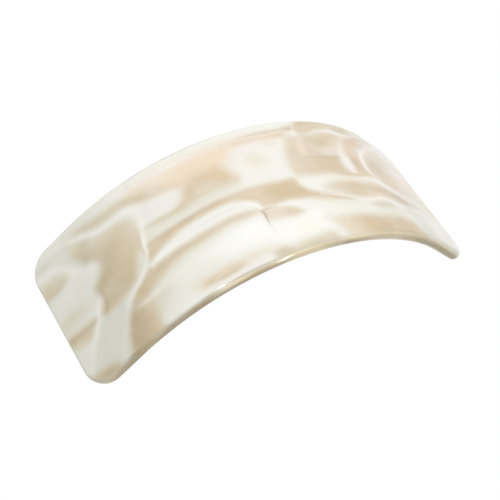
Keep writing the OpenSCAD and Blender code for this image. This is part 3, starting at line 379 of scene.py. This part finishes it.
    line("L", [(12.2, 6.0, 0.5, 0.16), (12.4, 7.8, 0.5, 0.22), (12.9, 10.0, 0.6, 0.36)]),
    line("W", [(0, 13.05, 0.25, 0.10), (5, 13.0, 0.25, 0.16), (10, 12.95, 0.25, 0.18)]),
]
CRACK = [  # (s, y, half width, strength) along it
    [(-4.25, -4.7, 0.16, 0.42), (-3.9, -5.4, 0.20, 0.55), (-4.0, -6.6, 0.20, 0.50), (-4.15, -8.2, 0.20, 0.22)],
    [(-4.4, -4.75, 0.15, 0.34), (-3.4, -4.8, 0.15, 0.34), (-2.0, -4.9, 0.13, 0.30), (-1.0, -5.0, 0.12, 0.12)],
    [(-4.15, -8.2, 0.25, 0.10), (-4.1, -9.4, 0.35, 0.05), (-4.0, -10.6, 0.4, 0.02)],
]


def smooth(t):
    t = np.clip(t, 0, 1)
    return t * t * (3 - 2 * t)


def rounded(pts, closed, n=5):
    """The points with a Catmull-Rom curve through them."""
    p = np.array(pts, float)
    m = len(p)
    if closed:
        q = [p[(np.arange(m) + k) % m] for k in (-1, 0, 1, 2)]
    else:
        e = np.vstack([2 * p[0] - p[1], p, 2 * p[-1] - p[-2]])
        q = [e[k:k + m - 1] for k in range(4)]
    out = []
    for t in np.arange(n) / n:
        out.append(0.5 * (2 * q[1] + (q[2] - q[0]) * t + (2 * q[0] - 5 * q[1] + 4 * q[2] - q[3]) * t * t
                          + (3 * q[1] - q[0] - 3 * q[2] + q[3]) * t ** 3))
    line = np.stack(out, 1).reshape(-1, p.shape[1])
    return line if closed else np.vstack([line, p[-1:]])


def to_segments(p, a, b):
    """Distance from each point to each segment, and the place along it."""
    ab = b - a
    t = ((p[:, None, 0] - a[:, 0]) * ab[:, 0] + (p[:, None, 1] - a[:, 1]) * ab[:, 1]) / np.maximum(
        (ab ** 2).sum(1), 1e-12)
    t = np.clip(t, 0, 1)
    dx = p[:, None, 0] - a[:, 0] - t * ab[:, 0]
    dy = p[:, None, 1] - a[:, 1] - t * ab[:, 1]
    return np.sqrt(dx * dx + dy * dy), t


def shape(p, outline, soft):
    """1 inside the closed outline, 0 outside, soft over its edge."""
    line = rounded(outline, True)
    out = np.zeros(len(p))
    lo, hi = line.min(0) - soft, line.max(0) + soft
    near = np.where(((p >= lo) & (p <= hi)).all(1))[0]
    a, b = line, np.roll(line, -1, 0)
    for part in np.array_split(near, max(1, len(near) // 4000 + 1)):
        if not len(part):
            continue
        q = p[part]
        d = to_segments(q, a, b)[0].min(1)
        over = (a[:, 1] > q[:, None, 1]) != (b[:, 1] > q[:, None, 1])
        xs = a[:, 0] + (q[:, None, 1] - a[:, 1]) * (b[:, 0] - a[:, 0]) / np.where(
            a[:, 1] == b[:, 1], 1e-9, b[:, 1] - a[:, 1])
        inside = (over & (q[:, None, 0] < xs)).sum(1) % 2 == 1
        out[part] = smooth(0.5 + 0.5 * np.where(inside, d, -d) / soft)
    return out


def vein(p, pts):
    """A bell across the line, with the line's own half width and strength."""
    path = rounded(pts, False)
    out = np.zeros(len(p))
    reach = 2.6 * path[:, 2].max()
    lo, hi = path[:, :2].min(0) - reach, path[:, :2].max(0) + reach
    near = np.where(((p >= lo) & (p <= hi)).all(1))[0]
    a, b = path[:-1], path[1:]
    for part in np.array_split(near, max(1, len(near) // 4000 + 1)):
        if not len(part):
            continue
        d, t = to_segments(p[part], a[:, :2], b[:, :2])
        k = d.argmin(1)
        i = np.arange(len(part))
        w, amount = (a[k, 2:4] + (b[k, 2:4] - a[k, 2:4]) * t[i, k][:, None]).T
        out[part] = amount * np.exp(-0.9 * (d[i, k] / w) ** 2)
    return out


def blot(p, s, y, rs, ry, turn):
    c, n = math.cos(math.radians(turn)), math.sin(math.radians(turn))
    u, v = p[:, 0] - s, p[:, 1] - y
    return np.exp(-0.9 * (((c * u + n * v) / rs) ** 2 + ((c * v - n * u) / ry) ** 2))


def wave(p, seed, scale):
    """A slow, smooth, fixed wander of two components."""
    rng = np.random.RandomState(seed)
    out = np.zeros((len(p), 2))
    for k in range(7):
        f = scale * (0.6 + 0.35 * k)
        ang = rng.uniform(0, 2 * math.pi)
        ph = rng.uniform(0, 2 * math.pi, 2)
        u = f * (p[:, 0] * math.cos(ang) + p[:, 1] * math.sin(ang))
        out += np.stack([np.sin(u + ph[0]), np.sin(u + ph[1])], 1) / (1 + 0.6 * k)
    return out / 3


def marble(p):
    """The share of each pigment at places (s, y) of the sheet, and the crack's strength."""
    q = p + 0.20 * wave(p, 3, 0.55) + 0.07 * wave(p, 5, 1.9)
    share = np.zeros((len(p), len(PIGMENTS)))
    for kind, pigment, amount, soft, form, fade in LAYERS:
        if kind == "area":
            k = amount * shape(q, form, soft)
        elif kind == "line":
            k = vein(q, form)
        else:
            k = amount * blot(q, *form)
        if fade:
            (s0, y0), (s1, y1), m0, m1 = fade
            d = np.array([s1 - s0, y1 - y0], float)
            t = smooth(((q - (s0, y0)) @ d) / (d @ d))
            k = k * (m0 + (m1 - m0) * t)
        k = np.clip(k, 0, 1)
        share *= (1 - k)[:, None]
        if pigment:
            share[:, PIGMENTS.index(pigment)] += k
    crack = np.zeros(len(p))
    for path in CRACK:
        crack = np.maximum(crack, vein(p + 0.05 * wave(p, 9, 3.0), path))
    return share, crack


# along the edge: how strongly the dark line at the skin, the band under the
# cream line of painted highlight, the gold and the painted shade on the lower edge are coloured
EDGE_LAYERS_AND_SHADE = ((-46, 0.15, 0.20, 0.55, 0.6), (-42, 0.15, 0.70, 0.55, 1.0), (-39, 0.55, 0.65, 0.55, 1.0), (-36, 0.25, 0.50, 0.5, 0.1),
               (-33, 0.15, 0.12, 0.5, 0.8), (-30, 0.15, 0.80, 0.55, 1.0), (-27, 0.20, 0.75, 0.55, 1.0), (-24, 0.20, 0.75, 0.55, 0.95),
               (-21, 0.50, 0.50, 0.5, 0.85), (-18, 0.10, 0.05, 0.55, 0.9), (-15, 0.50, 0.05, 0.55, 0.9), (-12, 0.45, 0.40, 0.5, 0.75),
               (-9, 0.45, 0.50, 0.5, 0.7), (-6, 0.15, 0.05, 0.5, 0.6), (-3, 0.05, 0.15, 0.25, 0.1), (0, 0.05, 0.15, 0.2, 0.1),
               (3, 0.15, 0.30, 0.05, 0.0), (6, 0.15, 0.40, 0.25, 0.3), (9, 0.00, 0.15, 0.6, 0.75), (12, 0.00, 0.05, 0.5, 0.6),
               (15, 0.05, 0.25, 0.1, 0.3), (18, 0.05, 0.30, 0.1, 0.1), (21, 0.10, 0.30, 0.05, 0.0), (24, 0.10, 0.25, 0.1, 0.3),
               (27, 0.20, 0.25, 0.4, 0.5), (30, 0.10, 0.35, 0.5, 0.8), (33, 0.00, 0.25, 0.6, 0.9), (36, 0.05, 0.05, 0.6, 0.9),
               (39, 0.12, 0.00, 0.6, 1.0), (46, 0.15, 0.00, 0.6, 0.9))


def build_plate():
    s, hw, ns, ny = columns()
    n, m = len(s), 105
    v = np.linspace(-1, 1, m)
    S = np.repeat(s[:, None], m, 1)
    Y = hw[:, None] * v[None]
    grid = np.stack([S.ravel(), Y.ravel()], 1)
    # the outline, anticlockwise seen from above, as grid indices and normals
    idx, nor = [], []
    for i in range(n):
        idx.append(i * m); nor.append((ns[i], -ny[i]))
    for j in range(1, m - 1):
        idx.append((n - 1) * m + j); nor.append((1, 0))
    for i in range(n - 1, -1, -1):
        idx.append(i * m + m - 1); nor.append((ns[i], ny[i]))
    for j in range(m - 2, 0, -1):
        idx.append(j); nor.append((-1, 0))
    idx, nor = np.array(idx), np.array(nor, float)
    base = grid[idx]
    k = len(idx)
    sy, depth = [grid], [np.zeros(n * m)]
    for ph in np.radians([15, 30, 45, 60, 75, 90]):
        sy.append(base + nor * EDGE * math.sin(ph))
        depth.append(np.full(k, EDGE * (1 - math.cos(ph))))
    for ph in np.radians([90, 75, 60, 45, 30, 15]):
        sy.append(base + nor * EDGE * math.sin(ph))
        depth.append(np.full(k, THK - EDGE * (1 - math.cos(ph))))
    sy.append(grid)
    depth.append(np.full(n * m, THK))
    sy, depth = np.vstack(sy), np.concatenate(depth)
    co = bend(sy[:, 0], sy[:, 1], depth)
    top = np.arange(n * m).reshape(n, m)
    a, b, c, d = top[:-1, :-1], top[1:, :-1], top[1:, 1:], top[:-1, 1:]
    faces = [np.stack([a, b, c, d], -1).reshape(-1, 4)]
    off = n * m + 12 * k
    faces.append(np.stack([a, d, c, b], -1).reshape(-1, 4) + off)
    rings = [idx] + [n * m + r * k + np.arange(k) for r in range(12)] + [idx + off]
    for r0, r1 in zip(rings[:-1], rings[1:]):
        faces.append(np.stack([r0, r1, np.roll(r1, -1), np.roll(r0, -1)], -1))
    faces = np.vstack(faces)
    me = bpy.data.meshes.new("acetate_plate")
    me.vertices.add(len(co)); me.loops.add(len(faces) * 4); me.polygons.add(len(faces))
    me.vertices.foreach_set("co", co.ravel())
    me.loops.foreach_set("vertex_index", faces.ravel())
    me.polygons.foreach_set("loop_start", np.arange(len(faces)) * 4)
    me.polygons.foreach_set("use_smooth", np.ones(len(faces), bool))
    me.update(calc_edges=True)
    # the colour runs slantwise through the sheet
    t = depth / THK
    where = sy + np.stack([1.6 * t + 0.8 * t * t, -1.1 * t], 1)
    where = where + (0.8 * t * t)[:, None] * wave(sy, 11, 0.3)
    share, crack = marble(where)
    crack = crack * np.clip(1 - 3 * t, 0, 1)
    # the cut edge shows the sheet's layers, a thin dark line and gold, under painted
    # light: a grey skin of painted shade where the rounding turns away, a cream line
    # of painted highlight, and a dark core of painted shade on the lower edge, each
    # stronger in some places along the edge
    rim = np.zeros(len(co), bool)
    rim[n * m:off] = True
    side = smooth((48.5 - np.abs(sy[:, 0])) / 3)
    far = smooth(sy[:, 1] / 20 + 0.5)
    cream_highlight = np.interp(sy[:, 0], (-46, -30, -21, -16, 0, 8, 20, 32, 46), (0.2, 0.0, 0.25, 0.85, 0.85, 0.6, 0.55, 0.3, 0.2))
    skin, band, gold, lower_edge_shade = (np.interp(sy[:, 0], [k[0] for k in EDGE_LAYERS_AND_SHADE], [k[i] for k in EDGE_LAYERS_AND_SHADE]) for i in (1, 2, 3, 4))
    # G at the top of the edge is painted shade on the rounding, C is a painted highlight line and the last D is painted
    # shade on the lower edge
    for pigment, lo, hi, amount in (("G", 0.00, 0.03, (0.45 - 0.30 * far) * (1 - 0.7 * band)), ("D", 0.00, 0.05, skin), ("C", 0.05, 0.10, cream_highlight * side),
                                    ("D", 0.07, 0.17, band), ("O", 0.18, 0.32, gold), ("D", 0.30, 0.46, lower_edge_shade)):
        k = amount * smooth((t - lo) / (hi - lo)) * rim
        share *= (1 - k)[:, None]
        share[:, PIGMENTS.index(pigment)] += k
    for name, val in (*(("mb_" + c, share[:, i]) for i, c in enumerate(PIGMENTS)), ("mb_crack", crack)):
        at = me.attributes.new(name, "FLOAT", "POINT")
        at.data.foreach_set("value", val.astype(np.float32))
    at = me.attributes.new("mb_pos", "FLOAT_VECTOR", "POINT")
    at.data.foreach_set("vector", np.column_stack([sy, depth]).astype(np.float32).ravel())
    ob = bpy.data.objects.new("acetate_plate", me)
    scene.collection.objects.link(ob)
    return ob


# ---------------------------------------------------------------- node help
class Tree:
    def __init__(self, name):
        self.mat = bpy.data.materials.new(name)
        self.mat.use_nodes = True
        self.nt = self.mat.node_tree
        self.bsdf = self.nt.nodes["Principled BSDF"]

    def node(self, kind, **props):
        n = self.nt.nodes.new(kind)
        for k, val in props.items():
            setattr(n, k, val)
        return n

    def link(self, a, b):
        self.nt.links.new(a, b)

    def attr(self, name, out="Fac"):
        return self.node("ShaderNodeAttribute", attribute_name=name).outputs[out]

    def maths(self, op, a, b=None, clamp=False):
        n = self.node("ShaderNodeMath", operation=op, use_clamp=clamp)
        for i, x in enumerate((a, b)):
            if x is None:
                continue
            if isinstance(x, (int, float)):
                n.inputs[i].default_value = x
            else:
                self.link(x, n.inputs[i])
        return n.outputs[0]

    def mix(self, fac, a, b, blend="MIX"):
        n = self.node("ShaderNodeMix", data_type="RGBA", blend_type=blend)
        for sock, x in ((n.inputs["Factor"], fac), (n.inputs[6], a), (n.inputs[7], b)):
            if isinstance(x, (int, float)):
                sock.default_value = x
            elif isinstance(x, tuple):
                sock.default_value = (*x, 1.0)
            else:
                self.link(x, sock)
        return n.outputs[2]

    def noise(self, vec, scale, detail=3.0, rough=0.5, stretch=None):
        if stretch is not None:
            m = self.node("ShaderNodeMapping")
            m.inputs["Scale"].default_value = stretch
            self.link(vec, m.inputs["Vector"])
            vec = m.outputs[0]
        n = self.node("ShaderNodeTexNoise")
        n.inputs["Scale"].default_value = scale
        n.inputs["Detail"].default_value = detail
        n.inputs["Roughness"].default_value = rough
        self.link(vec, n.inputs["Vector"])
        return n.outputs["Fac"]

    def span(self, x, a, b, lo, hi):
        n = self.node("ShaderNodeMapRange")
        for i, val in zip((1, 2, 3, 4), (a, b, lo, hi)):
            n.inputs[i].default_value = val
        self.link(x, n.inputs[0])
        return n.outputs[0]

    def bump(self, height, strength, distance, normal=None):
        n = self.node("ShaderNodeBump")
        n.inputs["Strength"].default_value = strength
        n.inputs["Distance"].default_value = distance
        self.link(height, n.inputs["Height"])
        if normal is not None:
            self.link(normal, n.inputs["Normal"])
        return n.outputs[0]


PEARL = (0.80, 0.798, 0.738)
CRACKED = (0.27, 0.15, 0.08)
COLOURS = {
    "T": (0.545, 0.368, 0.165), "O": (0.500, 0.385, 0.175), "P": (0.780, 0.625, 0.455), "B": (0.380, 0.300, 0.205),
    "W": (0.900, 0.900, 0.885), "L": (0.800, 0.735, 0.715), "G": (0.600, 0.605, 0.535),
    "C": (0.870, 0.770, 0.530), "D": (0.275, 0.208, 0.108),
}


def acetate():
    t = Tree("acetate")
    pos = t.attr("mb_pos", "Vector")
    cloud = t.noise(pos, 0.22, 3.0, 0.55)
    streak = t.noise(pos, 1.0, 4.0, 0.6, stretch=(0.10, 1.3, 1.0))
    fleck = t.noise(pos, 1.3, 4.0, 0.6, stretch=(0.6, 1.0, 1.0))
    # each pigment is a little uneven: clouded, and drawn out along the sheet
    lift = t.maths("MULTIPLY", t.span(cloud, 0.3, 0.7, 0.90, 1.10), t.span(streak, 0.3, 0.7, 0.98, 1.02))
    shares, total = {}, None
    for c in PIGMENTS:
        w = t.attr("mb_" + c)
        if c != "W":
            w = t.maths("MULTIPLY", w, lift, clamp=True)
        shares[c] = w
        total = w if total is None else t.maths("ADD", total, w)
    col = t.mix(t.maths("SUBTRACT", 1.0, total, clamp=True), (0.0, 0.0, 0.0), PEARL)
    for c in PIGMENTS:
        col = t.mix(shares[c], col, COLOURS[c], blend="ADD")
    col = t.mix(t.span(fleck, 0.35, 0.8, 0.0, 0.05), col, COLOURS["T"])
    col = t.mix(t.attr("mb_crack"), col, CRACKED)
    t.link(col, t.bsdf.inputs["Base Color"])
    rough = t.span(t.noise(pos, 0.5, 3.0, 0.5), 0.3, 0.7, 0.06, 0.10)
    t.link(rough, t.bsdf.inputs["Roughness"])
    t.link(t.bump(t.noise(pos, 0.16, 2.0, 0.5), 0.35, 0.00008), t.bsdf.inputs["Normal"])
    t.bsdf.inputs["IOR"].default_value = 1.49
    t.bsdf.inputs["Coat Weight"].default_value = 0.5
    t.bsdf.inputs["Coat Roughness"].default_value = 0.03
    t.bsdf.inputs["Coat IOR"].default_value = 1.49
    t.bsdf.inputs["Subsurface Weight"].default_value = 0.25
    t.bsdf.inputs["Subsurface Radius"].default_value = (1.0, 0.85, 0.65)
    t.bsdf.inputs["Subsurface Scale"].default_value = 0.0012
    return t.mat


def metal(name, light, dark, rough, grain, stretch, tarnish=0.25):
    """Plated sheet: a fine grain along the strip, faint clouding, and specks of wear."""
    t = Tree(name)
    co = t.node("ShaderNodeTexCoord").outputs["Object"]
    fine = t.noise(co, grain, 5.0, 0.65, stretch=stretch)
    cloud = t.noise(co, 160.0, 3.0, 0.55)
    speck = t.noise(co, 900.0, 2.0, 0.5)
    col = t.mix(t.span(cloud, 0.3, 0.72, 0.0, 1.0), light, dark)
    col = t.mix(t.span(speck, 0.62, 0.75, 0.0, tarnish), col, tuple(0.55 * x for x in dark))
    t.link(col, t.bsdf.inputs["Base Color"])
    t.bsdf.inputs["Metallic"].default_value = 1.0
    r = t.maths("ADD", t.span(fine, 0.25, 0.75, rough - 0.06, rough + 0.07), t.span(cloud, 0.3, 0.7, -0.02, 0.03))
    t.link(r, t.bsdf.inputs["Roughness"])
    t.link(t.bump(fine, 0.16, 0.00002), t.bsdf.inputs["Normal"])
    return t.mat


plate = build_plate()
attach(plate, "plate")
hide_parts("face_plate")
plate.data.materials.append(acetate())

sheet_metal = metal("nickel_sheet", (0.60, 0.592, 0.575), (0.545, 0.538, 0.52), 0.20, 1400.0, (0.12, 1.0, 1.0))
spring_metal = metal("spring_steel", (0.53, 0.53, 0.54), (0.47, 0.47, 0.485), 0.26, 1700.0, (0.10, 1.0, 1.0))
rivet_metal = metal("rivet_steel", (0.60, 0.592, 0.58), (0.52, 0.515, 0.505), 0.22, 2200.0, (1.0, 1.0, 1.0))
eyelet_metal = metal("eyelet_brass", (0.66, 0.56, 0.36), (0.58, 0.48, 0.29), 0.22, 2200.0, (1.0, 1.0, 1.0))
LOOKS = {
    "clasp_base": sheet_metal, "arm": sheet_metal, "tension_bow": spring_metal, "catch_seat": spring_metal,
    "catch_jaw_front": spring_metal, "catch_jaw_rear": spring_metal, "hinge_end_rivet": rivet_metal,
    "catch_end_rivet": rivet_metal, "hinge_pin": rivet_metal, "catch_eyelet": eyelet_metal,
}
for name, mat in LOOKS.items():
    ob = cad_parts[name]
    ob.data.materials.clear()
    ob.data.materials.append(mat)

# ---------------------------------------------------------------- stage
def plain(name, colour, rough):
    m = bpy.data.materials.new(name)
    m.use_nodes = True
    b = m.node_tree.nodes["Principled BSDF"]
    b.inputs["Base Color"].default_value = (*colour, 1.0)
    b.inputs["Roughness"].default_value = rough
    return m


me = bpy.data.meshes.new("floor")
h, z = 3.0, -0.30
me.from_pydata([(-h, -h, z), (h, -h, z), (h, h, z), (-h, h, z)], [], [(0, 1, 2, 3)])
floor = bpy.data.objects.new("floor", me)
scene.collection.objects.link(floor)
floor.data.materials.append(plain("floor_white", (0.20, 0.20, 0.20), 0.8))
# a lit table top, so it stays white out to its far edge
lit = floor.data.materials[0].node_tree.nodes["Principled BSDF"].inputs
lit["Emission Color"].default_value = (1.0, 1.0, 1.0, 1.0)
lit["Emission Strength"].default_value = 0.80

world = bpy.data.worlds.new("studio")
world.use_nodes = True
scene.world = world
world.node_tree.nodes["Background"].inputs["Color"].default_value = (1.0, 1.0, 1.0, 1.0)
# a white studio wall all round, dimmer overhead
nodes, links = world.node_tree.nodes, world.node_tree.links
up = nodes.new("ShaderNodeSeparateXYZ")
links.new(nodes.new("ShaderNodeTexCoord").outputs["Generated"], up.inputs[0])
dim = nodes.new("ShaderNodeMapRange")
for i, val in zip((1, 2, 3, 4), (0.05, 0.20, 1.0, 0.54)):
    dim.inputs[i].default_value = val
links.new(up.outputs[2], dim.inputs[0])
links.new(dim.outputs[0], nodes["Background"].inputs["Strength"])


def softbox(name, at, to, size, power, colour=(1.0, 1.0, 1.0)):
    data = bpy.data.lights.new(name, "AREA")
    data.shape = "RECTANGLE"
    data.size, data.size_y = size
    data.energy = power
    data.color = colour
    ob = bpy.data.objects.new(name, data)
    scene.collection.objects.link(ob)
    ob.location = at
    ob.rotation_mode = "QUATERNION"
    if to:  # otherwise it faces straight down
        ob.rotation_quaternion = (Vector(to) - Vector(at)).to_track_quat("-Z", "Y")
    return ob


# the key's own reflection would burn out the polished edge, so small panels
# stand in for it there
softbox("key", (0.17, 0.0, 2.0), (0.0, 0.0, 0.015), (1.3, 0.2), 27.5).visible_glossy = False
for name, at, to, size, power in (("glint_high", (-0.665, -0.42, 1.90), None, (0.10, 0.32), 12.0),
                                  ("glint_low", (0.635, -1.88, 0.24), (0.0, 0.0, 0.0), (0.07, 1.0), 6.5)):
    panel = softbox(name, at, to, size, power)
    panel.visible_diffuse = panel.visible_camera = False

# ---------------------------------------------------------------- camera
cam = bpy.data.cameras.new("camera")
cam.sensor_width = 36.0
cam.lens = 100.885
cam.clip_start, cam.clip_end = 0.01, 20.0
camera = bpy.data.objects.new("camera", cam)
scene.collection.objects.link(camera)
camera.location = (-0.111585, -0.147747, 0.216744)
camera.rotation_mode = "QUATERNION"
camera.rotation_quaternion = Quaternion((0.9124963, 0.3217480, -0.1419451, -0.2089986))
scene.camera = camera
scene.view_settings.view_transform = "Standard"
scene.view_settings.look = "None"
